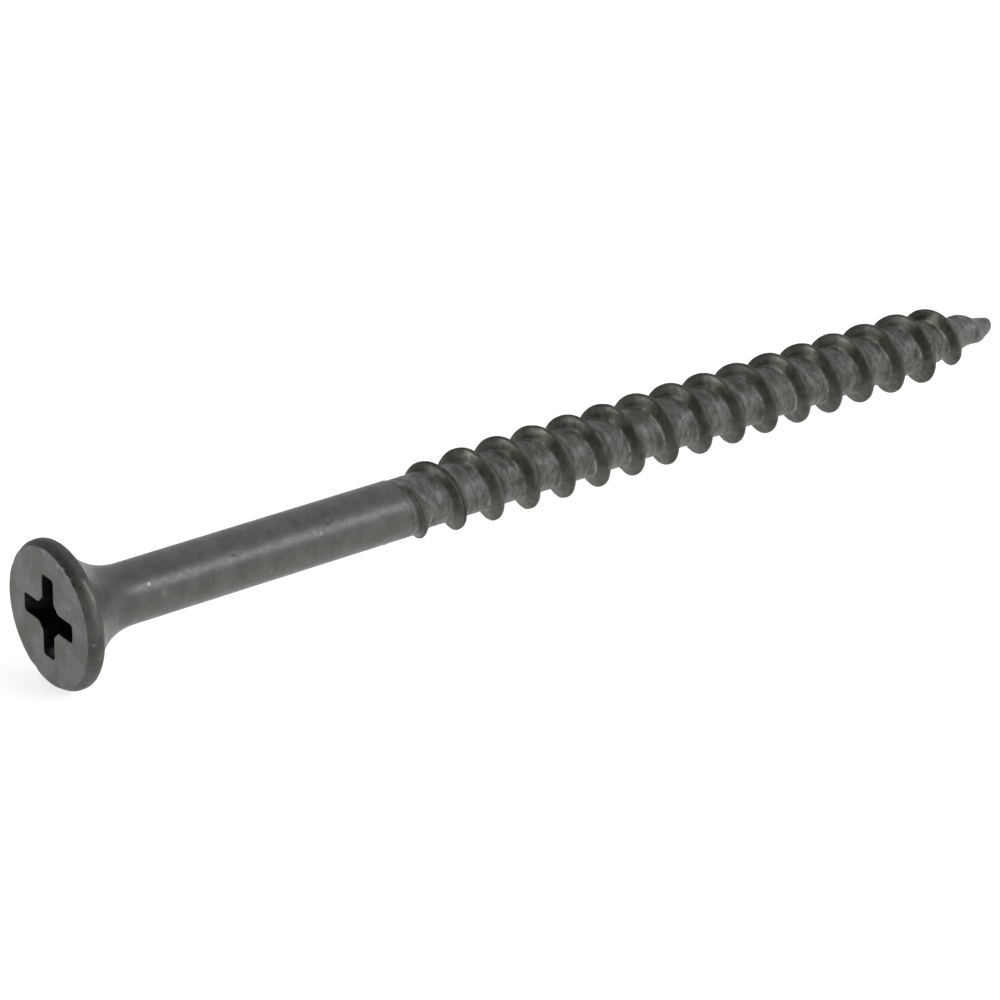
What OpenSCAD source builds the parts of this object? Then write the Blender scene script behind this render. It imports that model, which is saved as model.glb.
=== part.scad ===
// Wood screw, countersunk bugle head with a cross recess, smooth shank, coarse
// right-hand thread and gimlet point. Millimetres.
//
// The screw lies along X. The flat face of the head is the plane x = 0, with the
// axis through the origin, and the point is at +X.
//
// The screw is one piece of steel. Its regions are separate solids that meet
// face to face: head, neck, shank, core of the thread, thread ridge and point.

/* [Screw] */
// Length from the flat face of the head to the point
screw_len = 75.2; // [66:0.2:90]
// Diameter of the smooth shank
shank_d = 3.76; // [3.4:0.02:3.9]

/* [Head] */
// Diameter of the head where its rim is widest
head_d = 9.1; // [8.8:0.1:10]
// Diameter of the flat face, with its rounded edge
face_d = 8.66; // [8.2:0.02:8.7]
// Height of the rim band, with its rounded edges
rim_h = 1.15; // [1:0.05:1.4]
// Distance from the face to where the rim is widest
slant_h = 0.5; // [0.2:0.05:0.5]
// Radius that rounds the edge of the flat face
face_edge_r = 0.08; // [0.04:0.02:0.16]
// Radius that rounds the rim into the underside of the head
under_edge_r = 0.4; // [0.2:0.05:0.5]
// Distance from the face to the plane where the concave neck has become the shank
neck_end = 5.3; // [4.8:0.1:6]

/* [Drive recess] */
// How far the wings are turned from upright, in degrees
recess_turn = 2.5; // [0:0.5:45]
// Size across two opposite wings at the face
recess_d = 5.2; // [4.6:0.1:5.6]
// Depth of the recess at the centre
recess_depth = 2.7; // [2.2:0.1:2.9]
// Width of one wing
wing_w = 1.15; // [0.9:0.05:1.3]
// Size across two opposite wings where they meet the floor cone
wing_floor_d = 2.3; // [2:0.1:2.6]

/* [Thread] */
// Distance from one crest to the next along the axis
pitch = 2.82; // [2.4:0.02:3.2]
// Diameter over the crests
major_d = 5.05; // [4.8:0.05:5.4]
// Diameter at the root
root_d = 3.44; // [3.2:0.02:3.6]
// Width of the flat crest
crest_w = 0.26; // [0.1:0.02:0.4]
// Width of the ridge where it meets the root
ridge_w = 1.2; // [0.9:0.05:1.5]
// Where the smooth shank ends and the root begins
thread_start = 25.6; // [24:0.2:28]

/* [Point] */
// Length of the cone
point_len = 7; // [5:0.2:8]
// Diameter of the blunt end
tip_d = 0.7; // [0.3:0.1:0.8]

/* [Hidden] */

steel = "#4d4f52";
steel_dark = "#3b3c3f";
steel_light = "#626467";

round_fn = 96;

shank_r = shank_d / 2;
root_r = root_d / 2;
crest_r = major_d / 2;
head_r = head_d / 2;
face_r = face_d / 2;
tip_r = tip_d / 2;

// Underside of the head: a curve of revolution, steep at the rim band and tangent
// to the shank.
neck_top_r = head_r - under_edge_r;
neck_len = neck_end - rim_h;
neck_steps = 18;
neck_power = 2.35;

// Short cone where the shank steps down to the root
step_len = 0.6;
point_start = screw_len - point_len;
// The blunt end of the point is a cap this deep
cap_len = 0.15;

// Recess: the wings taper from the face to their floor, and a cone goes deeper
wing_depth = recess_depth * 0.78;
recess_core_r = recess_d * 0.23;
recess_floor_r = wing_floor_d * 0.4;
cut_over = 0.2;

// Ridge: the crest is at +Z where x = crest_top_x
crest_top_x = thread_start + 1.9;
steps_per_turn = 30;
// Angle along the helix, in degrees, at the first and last section of the ridge
helix_first = -288;
helix_last = floor((screw_len - crest_top_x - 0.8) / pitch * 360);
// The ridge's height rises from its first share, ever more slowly, by this angle
first_share = 0.06;
rise_angle = 240;
// The ridge is at its full height up to fade_from from the end of the point,
// and has shrunk to a low ridge at fade_to
fade_from = 4.3;
fade_to = 3;
low_height = 0.3;
// The low ridge runs out over the last angle of the helix
run_out_angle = 90;
// The flank that faces the head is steeper than the one that faces the point
head_flank_share = 0.42;
flank_run = ridge_w - crest_w;

// Turns a shape made along Z so that it lies along X, its +X side down
module along_x() {
    rotate([0, 90, 0]) children();
}

// Points of an arc, from one angle to another
function arc(cx, cy, r, from, to, n) =
    [for (i = [0 : n]) let (a = from + (to - from) * i / n) [cx + r * cos(a), cy + r * sin(a)]];

// Radius of the neck at a distance below the rim band, 0 to 1 of its length
function neck_r(t) = shank_r + (neck_top_r - shank_r) * pow(1 - t, neck_power);

// Radius of the steel under the ridge, at a distance from the face
function core_r(x) =
    x < thread_start ? shank_r
    : x < thread_start + step_len ? shank_r - (shank_r - root_r) * (x - thread_start) / step_len
    : x < point_start ? root_r
    : root_r - (root_r - tip_r) * (x - point_start) / (point_len - cap_len);

// A smooth step from 0 to 1 as t goes from 0 to 1
function smooth(t) = let (c = min(1, max(0, t))) c * c * (3 - 2 * c);

// Height of the ridge above the core, at an angle along the helix
function ridge_height(angle) =
    let (
        left = screw_len - crest_top_x - pitch * angle / 360,
        rise = first_share + (1 - first_share) * (1 - exp((helix_first - angle) / rise_angle)),
        fade = smooth((left - fade_to) / (fade_from - fade_to)),
        out = min(1, (helix_last - angle) / run_out_angle),
        full = crest_r - root_r
    )
    (low_height + (full - low_height) * fade) * rise * max(0.15, out);

// Four corners of the ridge's section at an angle along the helix, counted from +Z
function ridge_section(angle) =
    let (
        x = crest_top_x + pitch * angle / 360,
        height = ridge_height(angle),
        share = height / (crest_r - root_r),
        run = flank_run * share,
        top = crest_w * (0.4 + 0.6 * share),
        x_head = x - top / 2 - run * head_flank_share,
        x_point = x + top / 2 + run * (1 - head_flank_share),
        crest = core_r(x) + height,
        a = 180 + angle
    )
    [for (p = [[x_head, core_r(x_head)], [x - top / 2, crest], [x + top / 2, crest], [x_point, core_r(x_point)]])
        [p[1] * cos(a), p[1] * sin(a), p[0]]];

// Cross recess, cut from the face down
module drive_recess() {
    wing_slope = (recess_d - wing_floor_d) / 2 / wing_depth;
    outer = recess_d / 2 + wing_slope * cut_over;
    for (turn = [0, 90])
        rotate([0, 0, turn + recess_turn])
            rotate([90, 0, 0])
                linear_extrude(height = wing_w, center = true)
                    polygon([[-outer, -cut_over], [outer, -cut_over],
                             [wing_floor_d / 2, wing_depth], [-wing_floor_d / 2, wing_depth]]);
    translate([0, 0, -cut_over])
        cylinder(h = wing_depth + cut_over, r1 = recess_core_r, r2 = recess_floor_r, $fn = round_fn);
    translate([0, 0, wing_depth])
        cylinder(h = recess_depth - wing_depth, r1 = recess_floor_r, r2 = 0.12, $fn = round_fn);
}

// Rim band and flat face
module head() {
    profile = concat(
        [[0, 0]],
        arc(face_r - face_edge_r, face_edge_r, face_edge_r, -90, 0, 4),
        [[head_r, slant_h]],
        arc(head_r - under_edge_r, rim_h - under_edge_r, under_edge_r, 0, 90, 7),
        [[0, rim_h]]);
    color(steel)
        along_x()
            difference() {
                rotate_extrude($fn = round_fn) polygon(profile);
                drive_recess();
            }
}

// Concave underside of the head
module neck() {
    curve = [for (i = [0 : neck_steps])
        let (t = i / neck_steps)
        [neck_r(t), rim_h + neck_len * t]];
    color(steel_dark)
        along_x()
            difference() {
                rotate_extrude($fn = round_fn)
                    polygon(concat([[0, rim_h]], curve, [[0, neck_end]]));
                drive_recess();
            }
}

// Smooth part of the shank
module shank() {
    color(steel)
        along_x()
            translate([0, 0, neck_end])
                cylinder(h = thread_start - neck_end, r = shank_r, $fn = round_fn);
}

// Core that the ridge winds around, with the step down from the shank
module thread_core() {
    color(steel_light)
        along_x()
            rotate_extrude($fn = round_fn)
                polygon([[0, thread_start], [shank_r, thread_start],
                         [root_r, thread_start + step_len], [root_r, point_start], [0, point_start]]);
}

// The helical ridge, one closed solid from the shank to the point
module thread_ridge() {
    count = ceil((helix_last - helix_first) / 360 * steps_per_turn);
    sections = [for (i = [0 : count]) ridge_section(helix_first + (helix_last - helix_first) * i / count)];
    points = [for (s = sections, p = s) p];
    sides = [for (i = [0 : count - 1], j = [0 : 3])
        let (a = 4 * i + j, b = 4 * i + (j + 1) % 4)
        each [[a, a + 4, b], [b, a + 4, b + 4]]];
    caps = [[0, 1, 2, 3], [4 * count + 3, 4 * count + 2, 4 * count + 1, 4 * count]];
    color(steel_dark)
        along_x()
            polyhedron(points = points, faces = concat(sides, caps), convexity = 10);
}

// Gimlet point: the cone under the last turns
module point() {
    color(steel_light)
        along_x()
            rotate_extrude($fn = round_fn)
                polygon([[0, point_start], [root_r, point_start],
                         [tip_r, screw_len - cap_len], [tip_r * 0.6, screw_len], [0, screw_len]]);
}

head();
neck();
shank();
thread_core();
thread_ridge();
point();
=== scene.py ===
import math

import bpy
import numpy as np
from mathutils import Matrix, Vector, noise


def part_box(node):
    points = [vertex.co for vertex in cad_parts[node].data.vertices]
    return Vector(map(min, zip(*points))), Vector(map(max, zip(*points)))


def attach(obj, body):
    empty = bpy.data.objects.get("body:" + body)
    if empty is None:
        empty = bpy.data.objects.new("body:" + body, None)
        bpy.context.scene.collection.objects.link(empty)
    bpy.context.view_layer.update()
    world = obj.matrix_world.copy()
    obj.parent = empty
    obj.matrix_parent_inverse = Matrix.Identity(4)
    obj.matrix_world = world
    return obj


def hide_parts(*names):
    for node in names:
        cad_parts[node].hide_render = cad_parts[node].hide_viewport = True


# Wood screw: bugle head with a cross recess, smooth shank, coarse thread and gimlet point.
# Shapes are worked out in millimetres along X, from the sizes of the CAD nodes, and turned
# into metres when a mesh is made. Angles around the axis start at +Z and grow towards -Y.
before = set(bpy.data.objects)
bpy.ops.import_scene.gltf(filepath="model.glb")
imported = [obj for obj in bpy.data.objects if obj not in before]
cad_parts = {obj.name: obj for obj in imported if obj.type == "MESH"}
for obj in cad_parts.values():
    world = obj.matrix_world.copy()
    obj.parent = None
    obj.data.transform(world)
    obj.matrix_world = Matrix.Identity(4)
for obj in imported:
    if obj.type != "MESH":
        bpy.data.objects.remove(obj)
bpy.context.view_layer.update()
MM = 0.001
TURN = 2 * math.pi


def low(node):
    """Lowest corner of a CAD node's box, in millimetres."""
    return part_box(node)[0] / MM


def high(node):
    """Highest corner of a CAD node's box, in millimetres."""
    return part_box(node)[1] / MM


# ---- sizes taken from the CAD nodes ----
HEAD_R = high("head").z
RIM_H = high("head").x
NECK_TOP_R = high("neck").z
NECK_END = high("neck").x
SHANK_R = high("shank").z
SHANK_END = high("shank").x
CREST_R = high("thread_ridge").z
POINT_START = low("point").x
ROOT_R = high("point").z
LENGTH = high("point").x

# ---- head ----
FACE_R = 4.33
FACE_EDGE_R = 0.10
# Where the rounded edge of the face stops turning and the slant begins, in degrees
FACE_EDGE_SWEEP = 70
SLANT_H = 0.5
SLANT_POWER = 1.5
UNDER_EDGE_R = HEAD_R - NECK_TOP_R
NECK_POWER = 2.35
# How uneven the face is, in mm, and the rim, as a share of its radius, and the size of the lumps
FACE_WAVE, RIM_WAVE, HEAD_LUMP = 0.010, 0.0016, 1.6
# The unevenness starts at this distance from the axis, and stops short of the neck
WAVE_FROM, WAVE_RUN, WAVE_END = 2.9, 0.8, 0.3
# Points nearer the face's plane than this belong to the face
FACE_DEPTH = 0.02
# Half the width of the painted highlight line on the rim, and the shares of its length over which its ends
# fade
RIM_HIGHLIGHT_WIDTH, RIM_HIGHLIGHT_IN, RIM_HIGHLIGHT_OUT = 0.065, 0.2, 0.3

# ---- recess ----
RECESS_TURN = math.radians(2.5)
WING_HALF = 0.575
WING_REACH = 2.57
WING_FLOOR_REACH = 1.15
WING_DEPTH = 2.1
RECESS_DEPTH = 2.7
CORE_R = 1.17
LIP_R = 0.07
# How much narrower the wings and the middle are where they meet the floor
WING_TAPER, CORE_TAPER = 0.14, 0.18
# The floor's curve, along the axis and across it
FLOOR_SINK, FLOOR_CLOSE = 1.2, 1.15

# ---- shank ----
# The thread's skin begins here, a little before the CAD's shank ends
THREAD_FROM = SHANK_END - 1.2
# Distance between the shank's rings, and the step to its hidden end
SHANK_STEP, HIDE_STEP = 0.12, 0.03
# How far the hidden end lies inside the root
HIDE_DEPTH = 0.05
# Height and size of the waves left by the die, and the length over which they fade at each end
SHANK_WAVE, SHANK_LUMP, SHANK_FADE = 0.004, 1.2, 0.6

# ---- thread ----
PITCH = 2.82
CREST_TOP_X = SHANK_END + 1.9
FULL_HEIGHT = CREST_R - ROOT_R
CREST_FLAT = 0.26 / PITCH
HEAD_FLANK = 0.25 / PITCH
POINT_FLANK = 0.56 / PITCH
# How far the crest's corners and the feet of the two flanks are rounded, in pitches
CREST_ROUND = 0.014
HEAD_FOOT_ROUND = 0.020
POINT_FOOT_ROUND = 0.075
# The root ramps up a little before the foot of the flank that faces the head
FOOT_AT = -(CREST_FLAT / 2 + HEAD_FLANK + 0.030)
RAMP_HEIGHT = 0.05
RAMP_RUN = 0.07
RAMP_FALL = 0.06
# Places worked out across one pitch, and how far past each end the rounding looks
PROFILE_PLACES, PROFILE_MARGIN = 1201, 300
# The ridge's share of its full height, by turns along the helix from the crest at +Z
RISE = ((-1.02, 0.0), (-0.83, 0.32), (-0.5, 0.60), (-0.15, 0.72), (0.0, 0.74),
        (0.5, 0.84), (1.0, 0.97), (1.5, 1.0))
# The first part of the crest lies this much nearer the point than the helix, in pitches
START_LATE = 0.05
# Turns at which the first part of the thread has passed
START_PAST = 0.35
# The crest's wander along the helix, in pitches, and how often it changes in one turn
WANDER, WANDER_RATE = 0.008, 3.0
# Turns along the helix where the crest is lapped over into a thin lip
SEAM_TURNS = (0.03, 0.42)
# The seam's groove and lip: place in pitches, half width in pitches, and size in mm
SEAM_GROOVE, SEAM_LIP = (0.016, 0.015, 0.15), (0.062, 0.016, 0.06)
# Heights of the fine and the broad roughness, and the sizes of their lumps
FINE_ROUGH, BROAD_ROUGH = (0.011, 0.5), (0.018, 2.2)
SCAR_COUNT, SCAR_SEED = 150, 7
# The burrs may stand this far above the crest
BURR = 0.04

# ---- where the root sinks from the shank's surface ----
# The angles over which it sinks, and how far the sides of a groove blend into it, in pitches
SINK_FROM, SINK_OVER = math.radians(-70), math.radians(90)
GROOVE_BLEND = 0.07

# ---- point ----
# Radius of the core at its blunt end, and how much more it is underneath
TIP_R, TIP_SAG = 0.42, 0.10
# Length of the rounded nose at the top, how much more it is underneath, and its curve
NOSE, NOSE_SAG, NOSE_POWER = 0.34, 0.28, 3
# The ridge shrinks to its low share from its first to its second distance from the end
LOW_SHARE, LOW_END, LOW_RUN = 0.37, 3.1, 1.6
# The low ridge runs out over this length, this far from the end
OUT_END, OUT_RUN = 0.9, 0.9
# The low ridge is wider by this share, from a distance from the end on
LOW_WIDER, WIDER_END, WIDER_RUN = 0.9, 2.9, -1.2
# The low ridge becomes a soft swelling: its half width in pitches, and where it takes over
SWELLING, SWELLING_FROM = 0.17, 4.2

# ---- painted light and shade on the thread ----
# Strengths: painted highlight along a flank's foot, painted highlight on the flank near the top, painted
# shade at the foot of the first rise, painted shade in the seam
FOOT_HIGHLIGHT, SADDLE_HIGHLIGHT, STEP_SHADE, SEAM_SHADE = 2.2, 4.4, 0.6, 0.6
# The painted highlight on the flank of each turn: its middle and half width, in degrees from +Z
SADDLE_HIGHLIGHT_AT, SADDLE_HIGHLIGHT_WIDTH = 11, 13
PATCH_LUMP = 0.7

# ---- how finely the shapes are drawn ----
TIP_STEPS, WALL_STEPS, CORE_STEPS = 4, 10, 8
COUNT = 4 * (2 * TIP_STEPS + 2 * WALL_STEPS + CORE_STEPS)
HEAD_WALL_STEPS, LIP_STEPS, FACE_SPREAD = 4, 4, 26
EDGE_STEPS, SLANT_STEPS, BAND_STEPS, UNDER_STEPS = 4, 6, 3, 8
NECK_STEPS, NECK_WALL_STEPS, FLOOR_STEPS = 26, 7, 6
ROWS_PER_TURN = 56
THREAD_AROUND = 128
# Rows of faces of the head: the recess's walls, the flat face and half its edge, then the rim
RECESS_ROWS = HEAD_WALL_STEPS + LIP_STEPS // 2
FACE_ROWS = HEAD_WALL_STEPS + LIP_STEPS + FACE_SPREAD + EDGE_STEPS // 2
RIM_ROWS = EDGE_STEPS // 2 + SLANT_STEPS + BAND_STEPS + UNDER_STEPS
# The neck's rows in the recess, and one more for half of the two fans that follow them
NECK_RECESS_ROWS = NECK_WALL_STEPS + FLOOR_STEPS

# Marks of handling and of making, as (x, angle in degrees, distance from the axis, size,
# depth, how much lighter). A negative depth stands out, and a negative lightness is darker.
# These are along the edge of the face, on the face and on the rim.
HEAD_MARKS = [
    (0.03, 21, 4.30, 0.20, 0.08, 0.8), (0.0, 20, 4.00, 0.13, 0.01, 2.2), (0.02, 27, 4.24, 0.12, 0.10, 2.8),
    (0.04, 32, 4.30, 0.13, 0.10, -0.6), (0.0, 33, 4.05, 0.08, 0.02, 1.6), (0.06, 38, 4.40, 0.11, 0.07, 3.0),
    (0.03, 43, 4.30, 0.15, 0.11, -0.6), (0.13, 46, 4.48, 0.10, 0.06, 3.5), (0.02, 50, 4.25, 0.10, 0.07, 1.2),
    (0.25, 47, 4.46, 0.13, 0.05, -0.5), (0.15, 9, 4.40, 0.30, 0.05, 0.4), (0.0, -2, 4.10, 0.22, 0.01, 0.8),
    (0.0, 63, 2.48, 0.12, 0.01, -1.0), (0.0, 58, 2.80, 0.30, 0.0, 0.4), (0.23, 91.5, 4.53, 0.09, -0.02, 7.5),
    (0.6, 66, 4.55, 0.30, 0.03, 0.0), (0.9, 118, 4.55, 0.16, 0.04, 0.8), (0.02, 142, 4.33, 0.20, 0.06, 1.2),
    (0.9, 166, 4.50, 0.20, 0.03, 3.5), (0.85, 172, 4.52, 0.16, 0.04, 1.5), (0.05, 205, 4.30, 0.30, 0.07, 1.0),
    (0.7, 250, 4.55, 0.30, 0.04, 0.0), (0.1, 300, 4.35, 0.20, 0.06, 1.5), (0.4, 330, 4.50, 0.15, 0.04, -0.8),
]
# A painted highlight along the rim band, near its lower edge: its first and last (x, angle in degrees), and
# how much lighter it is
RIM_HIGHLIGHT = ((0.60, 40), (0.80, 66), 2.4)
# The end of the lower wing catches a little light
RECESS_MARKS = [(0.45, 182.5, 2.25, 0.40, 0.0, 9.0)]
# Specks, pits and low bumps on the shank
SHANK_MARKS = [
    (5.88, 57.5, 1.88, 0.13, -0.02, 5.0), (18.02, 63.5, 1.88, 0.14, -0.03, 1.6),
    (18.82, 41.5, 1.88, 0.13, 0.02, 0.9), (18.70, 46, 1.88, 0.22, 0.02, -0.3),
    (11.88, 51.5, 1.88, 0.15, 0.03, -0.6), (19.14, 79.5, 1.88, 0.20, -0.02, 0.6),
    (6.74, 82, 1.88, 0.20, -0.02, 0.6), (8.74, 37, 1.88, 0.25, 0.02, -0.2),
    (16.5, 30, 1.88, 0.30, 0.02, -0.2), (22.6, 70, 1.88, 0.15, 0.02, -0.4),
    (14.2, 105, 1.88, 0.15, -0.02, 0.5), (9.6, 190, 1.88, 0.16, 0.03, -0.5),
    (13.0, 260, 1.88, 0.14, -0.02, 1.4), (17.4, 225, 1.88, 0.20, 0.02, -0.4),
    (21.3, 300, 1.88, 0.15, 0.02, 0.9), (7.9, 320, 1.88, 0.16, -0.02, 0.7),
    (15.5, 345, 1.88, 0.20, 0.02, -0.4), (23.2, 150, 1.88, 0.15, -0.02, 0.8),
]


# ---- helpers ----
def smoothstep(t):
    t = np.clip(t, 0.0, 1.0)
    return t * t * (3 - 2 * t)


def bell(gap, width):
    """1 where the gap is 0, sinking to nothing over about twice the width."""
    return np.exp(-0.5 * (gap / width) ** 2)


def lumps(points, size, octaves, shift=0.0):
    """Smooth noise from about -1 to 1 at each point, with lumps of the given size in mm."""
    offset = Vector((3.1 + shift, 7.7, 1.3))
    out = np.zeros(len(points))
    for level in range(octaves):
        scale = 2.0 ** level / size
        out += [noise.noise(Vector(p) * scale + offset) / 1.7 ** level for p in points]
    return out


def on_axis(x, radius, angle):
    """Points at a radius and an angle around the X axis."""
    return np.stack([x, -radius * np.sin(angle), radius * np.cos(angle)], -1)


def make_piece(name, points, faces, sharp):
    """A smooth-shaded object from points in millimetres. sharp holds pairs of points with a sharp edge."""
    mesh = bpy.data.meshes.new(name)
    mesh.from_pydata((np.asarray(points) * MM).tolist(), [], [list(f) for f in faces])
    mesh.polygons.foreach_set("use_smooth", [True] * len(mesh.polygons))
    wanted = {frozenset(p) for p in sharp}
    for edge in mesh.edges:
        edge.use_edge_sharp = frozenset(edge.vertices) in wanted
    mesh.validate()
    piece = bpy.data.objects.new(name, mesh)
    bpy.context.scene.collection.objects.link(piece)
    return piece


def ring_faces(rings, count, loop=False):
    """Quads between rings of points, each with count points. loop joins the last ring to the first."""
    faces = []
    for r in range(rings if loop else rings - 1):
        a, b = r * count, (r + 1) % rings * count
        for j in range(count):
            k = (j + 1) % count
            faces.append((a + j, a + k, b + k, b + j))
    return faces


def ring_edges(ring, count):
    """The edges of one ring, as pairs of points."""
    return [(ring * count + j, ring * count + (j + 1) % count) for j in range(count)]


def flat_ring(x, outline):
    """An outline placed at x."""
    return np.stack([np.full(len(outline), x), -outline[:, 1], outline[:, 0]], -1)


def circle(radius):
    a = np.arange(COUNT) / COUNT * TURN
    return radius * np.stack([np.cos(a), np.sin(a)], -1)


def dented(points, marks):
    """Pushes points near each mark towards the axis."""
    moved = points.copy()
    for x, angle, radius, size, depth, _ in marks:
        at = on_axis(np.array(x), radius, math.radians(angle))
        push = depth * np.exp(-(((points - at) / size) ** 2).sum(-1))
        away = points - np.array([x, 0, 0])
        moved -= (away / np.linalg.norm(away, axis=-1, keepdims=True)) * push[:, None]
    return moved


def set_painted_light(piece, tone):
    """Stores the painted light and shade: how much lighter or darker each point is painted."""
    layer = piece.data.attributes.new("marks_and_painted_light", "FLOAT", "POINT")
    layer.data.foreach_set("value", np.asarray(tone, dtype=np.float32))
    return piece


# ---- head, neck and shank ----
def recess_outline(depth, grow=0.0):
    """The recess's outline at a depth, as (along Z, along -Y), grown outwards for its rounded lip."""
    share = depth / WING_DEPTH
    reach = WING_REACH + (WING_FLOOR_REACH - WING_REACH) * share + grow
    half = WING_HALF * (1 - WING_TAPER * share) + grow
    core = CORE_R * (1 - CORE_TAPER * share) + grow
    inner = math.sqrt(core * core - half * half)
    swing = math.asin(half / core)
    quarter = [(reach, half * i / TIP_STEPS) for i in range(TIP_STEPS)]
    quarter += [(reach + (inner - reach) * i / WALL_STEPS, half) for i in range(WALL_STEPS)]
    for i in range(CORE_STEPS):
        a = swing + (math.pi / 2 - 2 * swing) * i / CORE_STEPS
        quarter.append((core * math.cos(a), core * math.sin(a)))
    quarter += [(half, inner + (reach - inner) * i / WALL_STEPS) for i in range(WALL_STEPS)]
    quarter += [(half * (1 - i / TIP_STEPS), reach) for i in range(TIP_STEPS)]
    outline = []
    for turn in range(4):
        c, s = math.cos(RECESS_TURN + turn * math.pi / 2), math.sin(RECESS_TURN + turn * math.pi / 2)
        outline += [(p * c - q * s, p * s + q * c) for p, q in quarter]
    outline = np.array(outline)
    # Averaging each point with its neighbours, twice, rounds the corners
    for _ in range(2):
        outline = (np.roll(outline, 1, 0) + 2 * outline + np.roll(outline, -1, 0)) / 4
    return outline


def make_head():
    """Rim band and flat face, down to the plane where the neck begins. A ring-shaped closed solid."""
    rings = []
    for i in range(HEAD_WALL_STEPS + 1):
        depth = RIM_H + (LIP_R - RIM_H) * i / HEAD_WALL_STEPS
        rings.append(flat_ring(depth, recess_outline(depth)))
    for i in range(1, LIP_STEPS + 1):
        a = math.pi / 2 * i / LIP_STEPS
        rings.append(flat_ring(LIP_R * (1 - math.sin(a)), recess_outline(0, LIP_R * (1 - math.cos(a)))))
    inner = recess_outline(0, LIP_R)
    outer = circle(FACE_R - FACE_EDGE_R)
    for i in range(1, FACE_SPREAD + 1):
        t = i / FACE_SPREAD
        rings.append(flat_ring(0.0, inner + (outer - inner) * t))
    for i in range(1, EDGE_STEPS + 1):
        a = math.radians(FACE_EDGE_SWEEP) * i / EDGE_STEPS
        r = FACE_R - FACE_EDGE_R * (1 - math.sin(a))
        rings.append(flat_ring(FACE_EDGE_R * (1 - math.cos(a)), circle(r)))
    for i in range(1, SLANT_STEPS + 1):
        t = i / SLANT_STEPS
        r = FACE_R + (HEAD_R - FACE_R) * (1 - (1 - t) ** SLANT_POWER)
        rings.append(flat_ring(FACE_EDGE_R + (SLANT_H - FACE_EDGE_R) * t, circle(r)))
    band_end = RIM_H - UNDER_EDGE_R
    for i in range(1, BAND_STEPS + 1):
        rings.append(flat_ring(SLANT_H + (band_end - SLANT_H) * i / BAND_STEPS, circle(HEAD_R)))
    for i in range(1, UNDER_STEPS + 1):
        a = math.pi / 2 * i / UNDER_STEPS
        r = HEAD_R - UNDER_EDGE_R * (1 - math.cos(a))
        rings.append(flat_ring(band_end + UNDER_EDGE_R * math.sin(a), circle(r)))
    count = len(rings)
    points = np.concatenate(rings)
    radius = np.hypot(points[:, 1], points[:, 2])
    free = smoothstep((RIM_H - points[:, 0]) / WAVE_END) * smoothstep((radius - WAVE_FROM) / WAVE_RUN)
    wave = lumps(points, HEAD_LUMP, 2)
    points[:, 0] += FACE_WAVE * wave * free * (points[:, 0] < FACE_DEPTH)
    points[:, 1:] *= (1 + RIM_WAVE * wave * free)[:, None]
    points = dented(points, HEAD_MARKS)
    sharp = ring_edges(0, COUNT) + ring_edges(count - 1, COUNT)
    # The painted highlight: a thin light line along the rim band
    (x0, from_angle), (x1, to_angle), light = RIM_HIGHLIGHT
    angle = np.degrees(np.arctan2(-points[:, 1], points[:, 2]))
    along = (angle - from_angle) / (to_angle - from_angle)
    across = (points[:, 0] - x0 - (x1 - x0) * along) / RIM_HIGHLIGHT_WIDTH
    tone = (light * np.exp(-across ** 2) * smoothstep(along / RIM_HIGHLIGHT_IN)
            * smoothstep((1 - along) / RIM_HIGHLIGHT_OUT))
    return set_painted_light(make_piece("head_rim", points, ring_faces(count, COUNT, loop=True), sharp), tone)


# The neck's painted light: a painted reflection lighter by this at the rim, painted shade darker by this
# along it, and where each one blends
NECK_REFLECTION, NECK_SHADE = 0.12, 0.40
NECK_SHADE_RUN, NECK_SHADE_END, NECK_REFLECTION_UP_TO, NECK_REFLECTION_RUN = 0.25, 0.4, 0.6, 0.4


def make_neck():
    """The concave underside of the head, with the deep end of the recess in it."""
    rings = []
    for i in range(NECK_STEPS + 1):
        t = i / NECK_STEPS
        r = SHANK_R + (NECK_TOP_R - SHANK_R) * (1 - t) ** NECK_POWER
        rings.append(flat_ring(RIM_H + (NECK_END - RIM_H) * t, circle(r)))
    rings.reverse()
    for i in range(NECK_WALL_STEPS + 1):
        depth = RIM_H + (WING_DEPTH - RIM_H) * i / NECK_WALL_STEPS
        rings.append(flat_ring(depth, recess_outline(depth)))
    floor = recess_outline(WING_DEPTH)
    for i in range(1, FLOOR_STEPS):
        t = i / FLOOR_STEPS
        depth = WING_DEPTH + (RECESS_DEPTH - WING_DEPTH) * t ** FLOOR_SINK
        rings.append(flat_ring(depth, floor * (1 - t) ** FLOOR_CLOSE))
    count = len(rings)
    points = np.concatenate(rings + [[[RECESS_DEPTH, 0, 0]], [[NECK_END, 0, 0]]])
    faces = ring_faces(count, COUNT)
    bottom, end = count * COUNT, count * COUNT + 1
    last = (count - 1) * COUNT
    for j in range(COUNT):
        k = (j + 1) % COUNT
        faces.append((last + j, last + k, bottom))
        faces.append((k, j, end))
    # The rings run backwards here, so the faces are turned to look outwards
    faces = [f[::-1] for f in faces]
    sharp = ring_edges(0, COUNT) + ring_edges(NECK_STEPS, COUNT) + ring_edges(NECK_STEPS + 1, COUNT)
    share = (points[:, 0] - RIM_H) / (NECK_END - RIM_H)
    # Painted reflection next to the rim and painted shade along the neck
    tone = (NECK_REFLECTION
            - NECK_SHADE * smoothstep(share / NECK_SHADE_RUN) * smoothstep((1 - share) / NECK_SHADE_END)
            - NECK_REFLECTION * smoothstep((share - NECK_REFLECTION_UP_TO) / NECK_REFLECTION_RUN))
    return set_painted_light(make_piece("bugle_neck", points, faces, sharp), tone)


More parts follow.
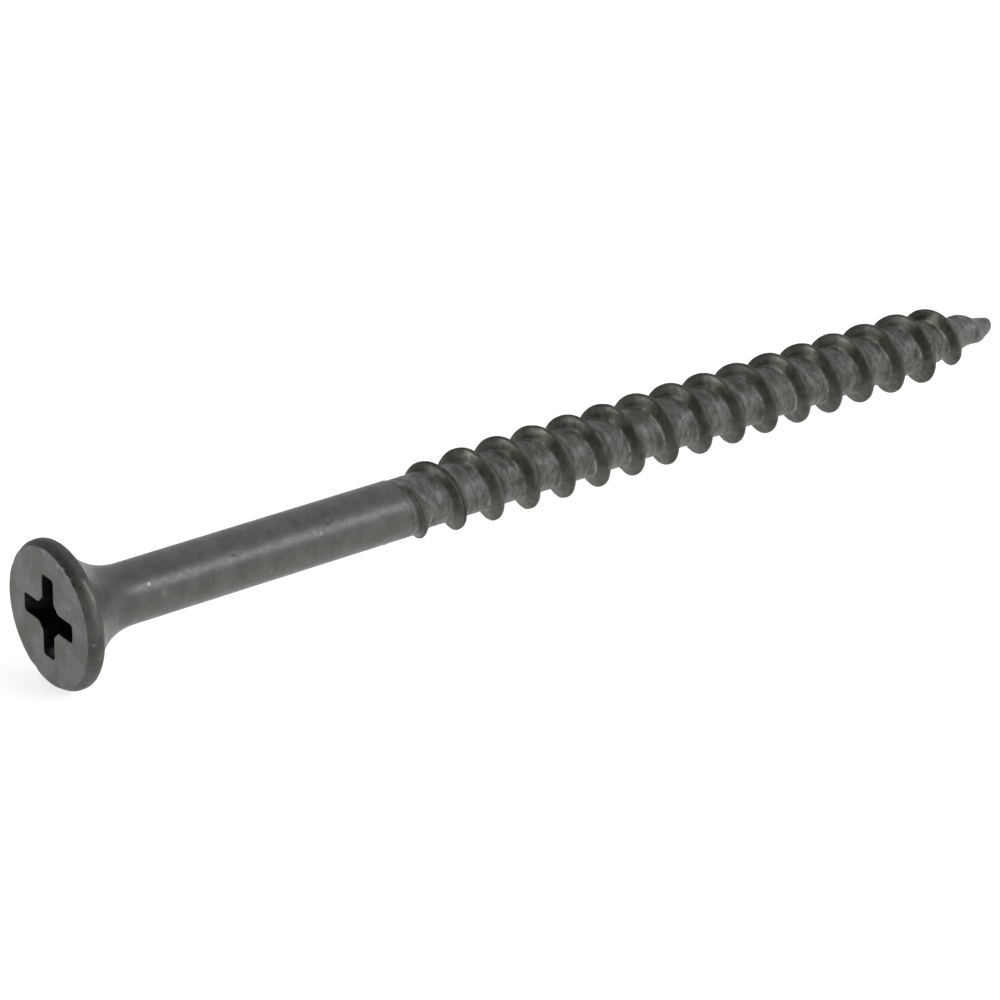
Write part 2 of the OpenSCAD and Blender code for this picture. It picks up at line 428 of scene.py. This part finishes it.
def make_shank():
    """The smooth shank, with faint waves left by the die. Its end lies just inside the thread's skin."""
    x = np.append(np.arange(NECK_END, THREAD_FROM, SHANK_STEP),
                  [THREAD_FROM, THREAD_FROM + HIDE_STEP, SHANK_END])
    rings = len(x)
    x = np.repeat(x, COUNT)
    angle = np.tile(np.arange(COUNT) / COUNT * TURN, rings)
    ends = smoothstep((x - NECK_END) / SHANK_FADE) * smoothstep((THREAD_FROM - x) / SHANK_FADE)
    wave = lumps(on_axis(x, SHANK_R, angle) * [1, 0.5, 0.5], SHANK_LUMP, 3)
    hidden = x > THREAD_FROM + HIDE_STEP / 3
    radius = np.where(hidden, ROOT_R - HIDE_DEPTH, SHANK_R + SHANK_WAVE * wave * ends)
    points = on_axis(x, radius, angle)
    points = dented(points, SHANK_MARKS)
    points = np.concatenate([points, [[NECK_END, 0, 0]], [[SHANK_END, 0, 0]]])
    faces = ring_faces(rings, COUNT)
    first, last = rings * COUNT, rings * COUNT + 1
    for j in range(COUNT):
        k = (j + 1) % COUNT
        faces.append((k, j, first))
        faces.append(((rings - 1) * COUNT + j, (rings - 1) * COUNT + k, last))
    sharp = ring_edges(0, COUNT) + ring_edges(rings - 3, COUNT) + ring_edges(rings - 1, COUNT)
    return make_piece("shank_skin", points, faces, sharp)


# ---- thread ----
def ridge_profile():
    """The ridge's section: distance from its crest in pitches, and height from 0 to 1."""
    f = np.linspace(-0.5, 0.5, PROFILE_PLACES)
    head_side = 1 - (-f - CREST_FLAT / 2) / HEAD_FLANK
    point_side = 1 - (f - CREST_FLAT / 2) / POINT_FLANK
    straight = np.pad(np.clip(np.minimum(head_side, point_side), 0, 1), PROFILE_MARGIN)
    spread = np.arange(-PROFILE_MARGIN, PROFILE_MARGIN + 1) * (f[1] - f[0])

    def rounded(size):
        kernel = np.exp(-0.5 * (spread / size) ** 2)
        return np.convolve(straight, kernel / kernel.sum(), "valid")

    crest = rounded(CREST_ROUND)
    root = np.where(f < 0, rounded(HEAD_FOOT_ROUND), rounded(POINT_FOOT_ROUND))
    # Low down the section follows the rounding of the feet, and high up that of the crest
    height = root + (crest - root) * smoothstep((crest - 0.2) / 0.6)
    ramp_up = np.clip((f - FOOT_AT + RAMP_RUN) / RAMP_RUN, 0, 1)
    ramp_up = ramp_up * np.clip(1 - (f - FOOT_AT) / RAMP_FALL, 0, 1)
    return f, height + RAMP_HEIGHT * ramp_up * (1 - height)


PROFILE_F, PROFILE_H = ridge_profile()


def row_places():
    """Where the rows of points lie across one pitch, closer together on the flanks."""
    run = np.hypot(np.diff(PROFILE_F) * PITCH, np.diff(PROFILE_H) * FULL_HEIGHT)
    length = np.concatenate([[0], np.cumsum(run)])
    return np.interp(np.arange(ROWS_PER_TURN) / ROWS_PER_TURN * length[-1], length, PROFILE_F)


def ridge_share(turns):
    """Share of the ridge's full height: it rises at its start and sinks to a low ridge on the point."""
    rise = np.interp(turns, *zip(*RISE))
    left = LENGTH - CREST_TOP_X - PITCH * turns
    fade = LOW_SHARE + (1 - LOW_SHARE) * smoothstep((left - LOW_END) / LOW_RUN)
    out = smoothstep((left - OUT_END) / OUT_RUN)
    return rise * fade * out


def groove_depth(place, angle):
    """How far the root has sunk from the shank's surface, 0 to 1, by helix place and angle around."""
    groove = np.floor(place) + 1
    across = place - np.floor(place)

    def depth(g):
        return smoothstep((angle + TURN * g - SINK_FROM) / SINK_OVER)

    here = depth(groove)
    before = here + (depth(groove - 1) - here) * 0.5 * smoothstep(1 - across / GROOVE_BLEND)
    return before + (depth(groove + 1) - here) * 0.5 * smoothstep(1 - (1 - across) / GROOVE_BLEND)


def core_radius(x, place, angle):
    """Radius of the steel under the ridge."""
    sunk = SHANK_R + (ROOT_R - SHANK_R) * groove_depth(place, angle)
    taper = (x - POINT_START) / (LENGTH - POINT_START)
    cone = ROOT_R + (TIP_R + TIP_SAG * (1 - np.cos(angle)) - ROOT_R) * taper
    radius = np.where(x > POINT_START, cone, sunk)
    # The end is cut off at a slant, its top longest, its bottom a blunt corner
    nose = NOSE + NOSE_SAG * (1 - np.cos(angle))
    over = np.clip((x - (LENGTH - nose)) / nose, 0, 1)
    return radius * np.sqrt(np.maximum(0, 1 - over ** NOSE_POWER))


def seam(place, turns):
    """A narrow groove with a thin lip beside it, where the crest was lapped over in rolling."""
    along = smoothstep((turns - SEAM_TURNS[0]) / 0.06) * smoothstep((SEAM_TURNS[1] - turns) / 0.14)
    groove = bell(place - SEAM_GROOVE[0], SEAM_GROOVE[1])
    lip = bell(place - SEAM_LIP[0], SEAM_LIP[1])
    return along * (SEAM_LIP[2] * lip - SEAM_GROOVE[2] * groove)


def scars(points, count, seed):
    """Pits and burrs at random places around the threads: radial moves in mm."""
    random = np.random.default_rng(seed)
    move = np.zeros(len(points))
    for _ in range(count):
        x = random.uniform(SHANK_END + 0.5, LENGTH - 1.5)
        angle = random.uniform(0, TURN)
        size = random.uniform(0.09, 0.20)
        # One in four is a burr, not so high as a pit is deep
        depth = random.uniform(0.03, 0.07) * (1 if random.random() < 0.75 else -0.6)
        at = on_axis(np.array(x), random.uniform(ROOT_R, CREST_R), angle)
        near = np.flatnonzero(np.abs(points[:, 0] - x) < 3 * size)
        gap = points[near] - at
        # Drawn out a little around the axis
        gap[:, 1:] *= 0.7
        move[near] -= depth * np.exp(-(gap ** 2).sum(-1) / size ** 2)
    return move


def ridge_painted_light(place, turns, share, points):
    """Painted light along the ridge: a painted highlight along the flank's foot and on the flank near the
    top, painted shade at the first rise and in the seam.
    """
    patchy = np.clip(0.5 + 1.0 * lumps(points, PATCH_LUMP, 2, 5.0), 0, 1.5)
    # Painted highlight: a bright line along the foot of the flank that faces the head
    foot = bell(place - FOOT_AT + 0.008, 0.014)
    start = smoothstep((START_PAST - turns) / 0.4)
    # Painted shade at the foot of the ridge where it first rises
    step = bell(place - FOOT_AT - 0.02, 0.03)
    # Painted shade along the seam's groove
    lapped = bell(place - SEAM_GROOVE[0], 0.016) * (turns > SEAM_TURNS[0]) * (turns < SEAM_TURNS[1])
    # A painted highlight on the flank where it passes over the top of the screw
    angle = (turns - np.round(turns)) * 360
    flank = smoothstep((place - FOOT_AT) / 0.02) * smoothstep((-CREST_FLAT / 2 + 0.01 - place) / 0.02)
    saddle_highlight = bell(angle - SADDLE_HIGHLIGHT_AT, SADDLE_HIGHLIGHT_WIDTH) * flank * (0.6 + 0.5 * patchy) * smoothstep(turns + 0.6)
    return ((1 - start) * share ** 2 * FOOT_HIGHLIGHT * foot * patchy + SADDLE_HIGHLIGHT * share * saddle_highlight
            - STEP_SHADE * start * step - SEAM_SHADE * lapped)


# Finishes of the thread's faces, as numbers of its materials
FINISH_LAND, FINISH_FLANK, FINISH_SHANK, FINISH_CREST = 0, 1, 2, 3
# The ridge's shares of its height from which its faces have their own finish, later and at the start
RAISED, RAISED_AT_START = 0.45, 0.12


def finish_of(place, turns, share, sunk):
    """The finish of a face, by its place across the pitch and along the helix."""
    raised = share > RAISED or (share > RAISED_AT_START and turns < 0.2)
    if raised and FOOT_AT + 0.015 < place < -CREST_FLAT / 2:
        return FINISH_FLANK
    if raised and -CREST_FLAT / 2 <= place < CREST_FLAT / 2 + 0.04:
        return FINISH_CREST
    return FINISH_LAND if sunk or share > 0 else FINISH_SHANK


def make_thread():
    """Core, ridge and point as one skin, laid out along the helix so that its edges follow the crests."""
    rows = row_places()
    first = math.floor((THREAD_FROM - CREST_TOP_X) / PITCH) - 2
    last = math.ceil((LENGTH - CREST_TOP_X) / PITCH) + 1
    place = np.concatenate([n + rows for n in range(first, last)])
    row_count = len(place)
    angle = np.arange(THREAD_AROUND) / THREAD_AROUND * TURN
    place, angle = [g.ravel() for g in np.meshgrid(place, angle, indexing="ij")]
    x = np.clip(CREST_TOP_X + PITCH * (place + angle / TURN), THREAD_FROM, LENGTH)
    place = (x - CREST_TOP_X) / PITCH - angle / TURN
    turn = np.round(place)
    turns = turn + angle / TURN
    share = ridge_share(turns)
    # The crest wanders a little along the helix, in place and in height
    line = np.stack([turns * WANDER_RATE, np.zeros(len(turns)), np.zeros(len(turns))], -1)
    wander = lumps(line, 1.0, 2, 4.0)
    width = 0.35 + 0.65 * share + LOW_WIDER * smoothstep((LENGTH - WIDER_END - x) / WIDER_RUN)
    late = START_LATE * smoothstep((START_PAST - turns) / 0.9)
    local = place - turn + WANDER * wander - late
    ridge = np.interp(local / width, PROFILE_F, PROFILE_H)
    # On the point the ridge is a low soft swelling
    ridge += (bell(local, SWELLING) - ridge) * smoothstep((x - LENGTH + SWELLING_FROM) / 1.0)
    radius = core_radius(x, place, angle) + FULL_HEIGHT * share * ridge * (x < LENGTH)
    points = on_axis(x, radius, angle)
    free = smoothstep((x - THREAD_FROM) / 0.5) * smoothstep((LENGTH - x) / 0.5)
    rough = lumps(points, FINE_ROUGH[1], 3)
    broad = lumps(points, BROAD_ROUGH[1], 2, 9.0)
    radius = radius + free * (FINE_ROUGH[0] * rough + BROAD_ROUGH[0] * broad * ridge
                              + seam(place - turn, turns) * share)
    radius = radius + free * scars(on_axis(x, radius, angle), SCAR_COUNT, SCAR_SEED)
    points = on_axis(x, np.minimum(radius, CREST_R + BURR), angle)
    # Painted highlights and painted shade along the ridge
    marks_and_painted_light = ridge_painted_light(local, turns, share, points)
    sunk = angle + TURN * (np.floor(place) + 1) > SINK_FROM
    faces, finish = [], []
    for i in range(row_count):
        for j in range(THREAD_AROUND):
            a, b = i * THREAD_AROUND + j, (i + 1) * THREAD_AROUND + j
            if j < THREAD_AROUND - 1:
                c, d = b + 1, a + 1
            else:
                # Once around, the row goes on as the row one pitch further along
                c, d = (i + 1 + ROWS_PER_TURN) * THREAD_AROUND, (i + ROWS_PER_TURN) * THREAD_AROUND
            if max(a, b, c, d) < len(points):
                faces.append((a, d, c, b))
                finish.append(finish_of((local[a] + local[b]) / 2, turns[a], share[a], sunk[a]))
    return weld("thread_skin", points, faces, marks_and_painted_light, finish)


def weld(name, points, faces, marks_and_painted_light, finish):
    """Joins points that fall together at the clamped ends, and closes the open ends with a fan."""
    keys = np.round(points / 1e-5).astype(np.int64)
    _, index, where = np.unique(keys, axis=0, return_index=True, return_inverse=True)
    where = where.ravel()
    kept, marks_and_painted_light = points[index], marks_and_painted_light[index]
    seen = set()
    clean, kind = [], []
    for face, own in zip(faces, finish):
        corners = []
        for v in face:
            w = int(where[v])
            if w not in corners:
                corners.append(w)
        if len(corners) > 2 and frozenset(corners) not in seen:
            seen.add(frozenset(corners))
            clean.append(corners)
            kind.append(own)
    edges = {}
    for face in clean:
        for a, b in zip(face, face[1:] + face[:1]):
            edges.setdefault(frozenset((a, b)), []).append((a, b))
    border = [e[0] for e in edges.values() if len(e) == 1]
    centre = len(kept)
    kept = np.concatenate([kept, [[kept[[a for a, _ in border]][:, 0].mean(), 0, 0]]])
    marks_and_painted_light = np.append(marks_and_painted_light, 0)
    clean += [[b, a, centre] for a, b in border]
    used = sorted({v for face in clean for v in face})
    renumber = {v: i for i, v in enumerate(used)}
    clean = [[renumber[v] for v in face] for face in clean]
    sharp = [(renumber[a], renumber[b]) for a, b in border]
    piece = make_piece(name, kept[used], clean, sharp)
    kind += [FINISH_SHANK] * len(border)
    return set_painted_light(piece, marks_and_painted_light[used]), kind


# ---- materials ----
def fill(made, values):
    """Links or sets a node's inputs."""
    for key, value in values.items():
        if isinstance(value, bpy.types.NodeSocket):
            made.id_data.links.new(value, made.inputs[key])
        else:
            made.inputs[key].default_value = value
    return made


def node(tree, kind, inputs, **settings):
    """Adds a shader node, with its settings and its inputs' values or links."""
    made = tree.nodes.new(kind)
    for key, value in settings.items():
        setattr(made, key, value)
    return fill(made, inputs)


def grain(tree, where, size_mm, roughness):
    """Noise with lumps of a size in millimetres."""
    return node(tree, "ShaderNodeTexNoise", {
        "Vector": where, "Scale": 1 / (size_mm * MM), "Detail": 3.0, "Roughness": roughness}).outputs["Fac"]


def ramp(tree, value, *stops):
    """A colour ramp. stops are (place, colour), and a single number is a grey."""
    made = node(tree, "ShaderNodeValToRGB", {"Fac": value})
    for element, (place, colour) in zip(made.color_ramp.elements, stops):
        element.position = place
        element.color = (*(colour if isinstance(colour, tuple) else (colour,) * 3), 1)
    return made.outputs["Color"]


def multiplied(tree, a, b):
    """One colour multiplied by another."""
    made = node(tree, "ShaderNodeMix", {}, data_type="RGBA", blend_type="MULTIPLY")
    # The inputs of the colour kind have these numbers
    return fill(made, {0: 1.0, 6: a, 7: b}).outputs[2]


def spots(tree, where, marks):
    """Soft spots of light or dark at the marks, added together."""
    total = 1.0
    for x, angle, radius, size, _, light in marks:
        if light:
            at = on_axis(np.array(x), radius, math.radians(angle)) * MM
            gap = node(tree, "ShaderNodeVectorMath", {0: where, 1: at.tolist()}, operation="DISTANCE")
            spot = node(tree, "ShaderNodeMapRange", {
                "Value": gap.outputs["Value"], "From Min": 1.5 * size * MM, "From Max": 0.3 * size * MM,
                "To Min": 0.0, "To Max": light}, interpolation_type="SMOOTHSTEP").outputs["Result"]
            total = node(tree, "ShaderNodeMath", {0: total, 1: spot}, operation="ADD").outputs["Value"]
    return total


# Sizes of the coating's patches and of its crystals, in millimetres
PATCH_MM, CRYSTAL_MM = 0.30, 0.10
PIT_COLOUR = (0.45, 0.45, 0.43)


def phosphate(name, dark, light, mottle, bump, shine, around=1.0, pit_share=0.66, contrast=0.14,
              grainy=0.2, ior=1.55, marks=()):
    """Grey-black phosphate coating: fine crystals, cloudy patches and dark pits, times the marks' spots and
    the painted light and shade stored on the piece.

    mottle is the size of the clouds and bump the height of the relief, in millimetres. shine is the
    roughness of the surface, and around draws the pattern out around the axis. Above pit_share of
    the patches' noise are pits. contrast and grainy are how much the patches and crystals vary.
    """
    material = bpy.data.materials.new(name)
    material.use_nodes = True
    tree = material.node_tree
    tree.nodes.clear()
    where = node(tree, "ShaderNodeTexCoord", {}).outputs["Object"]
    # Drawn out around the axis, as the dies leave it
    drawn = node(tree, "ShaderNodeMapping", {"Vector": where, "Scale": (1, around, around)}).outputs["Vector"]
    clouds = grain(tree, drawn, mottle, 0.55)
    patches = grain(tree, drawn, PATCH_MM, 0.6)
    crystals = grain(tree, where, CRYSTAL_MM, 0.7)
    pits = ramp(tree, patches, (pit_share, 1), (pit_share + 0.06, PIT_COLOUR))
    colour = ramp(tree, clouds, (0.40, dark), (0.60, light))
    for layer in (ramp(tree, patches, (0.34, 1 - contrast), (0.62, 1 + contrast)),
                  ramp(tree, crystals, (0.3, 1 - grainy), (0.7, 1 + grainy)), pits):
        colour = multiplied(tree, colour, layer)
    # The painted light and shade stored on the piece, with the marks' lighter and darker spots, scale the
    # colour
    marks_and_painted_light = node(tree, "ShaderNodeAttribute", {}, attribute_name="marks_and_painted_light").outputs["Fac"]
    marks_and_painted_light = node(tree, "ShaderNodeMath", {0: marks_and_painted_light, 1: spots(tree, where, marks)}, operation="ADD")
    colour = multiplied(tree, colour, marks_and_painted_light.outputs["Value"])
    rough = ramp(tree, patches, (0.3, shine + 0.07), (0.7, shine - 0.05))
    height = multiplied(tree, patches, pits)
    coarse = node(tree, "ShaderNodeBump", {"Height": height, "Strength": 0.5, "Distance": bump * MM})
    close = node(tree, "ShaderNodeBump", {
        "Height": crystals, "Strength": 0.6, "Distance": bump * 0.3 * MM, "Normal": coarse.outputs["Normal"]})
    surface = node(tree, "ShaderNodeBsdfPrincipled", {
        "Base Color": colour, "Roughness": rough, "Normal": close.outputs["Normal"], "IOR": ior})
    node(tree, "ShaderNodeOutputMaterial", {"Surface": surface.outputs["BSDF"]})
    return material


def dress(piece, material, slot, *nodes):
    """Gives a piece its material and the CAD nodes it stands for; slot is not used."""
    piece.data.materials.append(material)
    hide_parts(*nodes)
    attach(piece, "root")


FACE_STEEL = phosphate(
    "face_phosphate", dark=(0.037, 0.039, 0.030), light=(0.083, 0.081, 0.088), mottle=1.8, bump=0.008,
    shine=0.42, around=1.0, pit_share=0.74, contrast=0.07, grainy=0.03, marks=HEAD_MARKS)
RIM_STEEL = phosphate(
    "rim_phosphate", dark=(0.019, 0.020, 0.016), light=(0.042, 0.042, 0.036), mottle=0.9, bump=0.03,
    shine=0.55, around=0.6, pit_share=0.70, marks=HEAD_MARKS)
SHANK_STEEL = phosphate(
    "shank_phosphate", dark=(0.040, 0.041, 0.035), light=(0.058, 0.058, 0.053), mottle=1.3, bump=0.034,
    shine=0.38, around=0.75, pit_share=0.73, contrast=0.11, grainy=0.12, marks=SHANK_MARKS)
THREAD_STEEL = phosphate(
    "thread_phosphate", dark=(0.032, 0.033, 0.025), light=(0.074, 0.073, 0.069), mottle=0.6, bump=0.09,
    shine=0.45, around=0.5, pit_share=0.62, contrast=0.34, grainy=0.32)
FLANK_STEEL = phosphate(
    "flank_phosphate", dark=(0.048, 0.049, 0.040), light=(0.075, 0.075, 0.063), mottle=0.6, bump=0.06,
    shine=0.40, around=0.5, pit_share=0.66, contrast=0.18, grainy=0.2, ior=1.34)
CREST_STEEL = phosphate(
    "crest_phosphate", dark=(0.034, 0.035, 0.028), light=(0.058, 0.058, 0.049), mottle=0.6, bump=0.06,
    shine=0.62, around=0.5, pit_share=0.66, contrast=0.2, grainy=0.2, ior=1.4)
# The recess's coating is painted near black and barely reflects: painted shade in the recess
RECESS_SHADE_STEEL = phosphate(
    "recess_painted_shade", dark=(0.003, 0.003, 0.003), light=(0.008, 0.008, 0.009), mottle=0.5, bump=0.03,
    shine=0.65, ior=1.18, marks=RECESS_MARKS)


def dress_rows(piece, material, first, count):
    """Gives some rows of faces another material, such as the recess's painted shade."""
    piece.data.materials.append(material)
    slot = len(piece.data.materials) - 1
    for index in range(first * COUNT, (first + count) * COUNT):
        piece.data.polygons[index].material_index = slot


head, neck = make_head(), make_neck()
dress(head, FACE_STEEL, "steel_head", "head")
dress(neck, SHANK_STEEL, "steel_shank", "neck")
dress_rows(head, RECESS_SHADE_STEEL, 0, RECESS_ROWS)
dress_rows(head, RIM_STEEL, FACE_ROWS, RIM_ROWS)
dress_rows(neck, RECESS_SHADE_STEEL, NECK_STEPS + 1, NECK_RECESS_ROWS)
dress(make_shank(), SHANK_STEEL, "steel_shank", "shank")
thread, finishes = make_thread()
dress(thread, THREAD_STEEL, "steel_thread", "thread_core", "thread_ridge", "point")
for extra in (FLANK_STEEL, SHANK_STEEL, CREST_STEEL):
    thread.data.materials.append(extra)
thread.data.polygons.foreach_set("material_index", finishes)

# ---- stage ----
# The floor's size, in metres
FLOOR_SIZE = 6.0
# The floor is lit from below too, as a light table is
FLOOR_COLOUR, FLOOR_GLOW_COLOUR, FLOOR_GLOW = (0.50, 0.50, 0.49, 1), (1, 1, 0.985, 1), 0.77
# The camera's bearing and its height, in degrees, its distance and its target, in millimetres
CAMERA_ACROSS, CAMERA_RISE, CAMERA_AWAY, CAMERA_TARGET = 52.21, 24.17, 233.2, (32.8, 0, -1.63)
CAMERA_LENS, CAMERA_SENSOR = 134.45, 36
# The world is white, and darker towards an opening on the -X side
OPENING, WORLD_WHITE, WORLD_DARK, DARK_FROM = (-0.9, 0.15, 0.40), 0.82, 0.07, 0.65


def make_floor():
    """A pale level floor that the rim of the head rests on."""
    bpy.ops.mesh.primitive_plane_add(size=FLOOR_SIZE, location=(0, 0, -HEAD_R * MM))
    floor = bpy.context.object
    floor.name = "floor"
    material = bpy.data.materials.new("pale_floor")
    material.use_nodes = True
    fill(material.node_tree.nodes["Principled BSDF"], {
        "Base Color": FLOOR_COLOUR, "Roughness": 0.9,
        "Emission Color": FLOOR_GLOW_COLOUR, "Emission Strength": FLOOR_GLOW})
    floor.data.materials.append(material)


def aim(thing, target):
    thing.rotation_mode = "QUATERNION"
    thing.rotation_quaternion = (Vector(target) - thing.location).to_track_quat("-Z", "Y")


def make_camera():
    """The camera, before the head, on its -Y side and above it."""
    across, rise = math.radians(CAMERA_ACROSS), math.radians(CAMERA_RISE)
    look = Vector((math.cos(across) * math.cos(rise), math.sin(across) * math.cos(rise), -math.sin(rise)))
    target = Vector(CAMERA_TARGET) * MM
    data = bpy.data.cameras.new("camera")
    data.sensor_width = CAMERA_SENSOR
    data.lens = CAMERA_LENS
    data.clip_start = 0.005
    data.clip_end = 50
    camera = bpy.data.objects.new("camera", data)
    bpy.context.scene.collection.objects.link(camera)
    camera.location = target - look * CAMERA_AWAY * MM
    aim(camera, target)
    bpy.context.scene.camera = camera


def soft_light(name, direction, distance, width, height, power, colour=(1, 1, 1)):
    """A soft box that faces the middle of the screw. Lengths are in metres and power in watts."""
    middle = Vector((LENGTH / 2 * MM, 0, 0))
    data = bpy.data.lights.new(name, "AREA")
    data.shape = "RECTANGLE"
    data.size = width
    data.size_y = height
    data.energy = power
    data.color = colour
    light = bpy.data.objects.new(name, data)
    bpy.context.scene.collection.objects.link(light)
    light.location = middle + Vector(direction).normalized() * distance
    aim(light, middle)


def make_world():
    """White all round, darker on the -X side, as in a light tent with an opening."""
    world = bpy.data.worlds.new("studio")
    bpy.context.scene.world = world
    world.use_nodes = True
    tree = world.node_tree
    tree.nodes.clear()
    where = node(tree, "ShaderNodeTexCoord", {}).outputs["Generated"]
    opening = Vector(OPENING).normalized()
    facing = node(tree, "ShaderNodeVectorMath", {0: where, 1: opening}, operation="DOT_PRODUCT")
    tone = ramp(tree, facing.outputs["Value"], (0.0, WORLD_WHITE), (DARK_FROM, WORLD_DARK))
    back = node(tree, "ShaderNodeBackground", {"Color": tone, "Strength": 1.0})
    node(tree, "ShaderNodeOutputWorld", {"Surface": back.outputs["Background"]})


make_floor()
make_camera()
make_world()
soft_light("key", (0.34, -0.78, 0.46), distance=0.5, width=0.32, height=0.16, power=1.28,
           colour=(0.97, 0.98, 1.0))
soft_light("top", (0.1, 0.35, 1.0), distance=0.6, width=0.5, height=0.5, power=0.3)
soft_light("left", (-0.945, 0.325, 0.05), distance=0.5, width=0.08, height=0.08, power=0.7)
bpy.context.scene.view_settings.view_transform = "Standard"
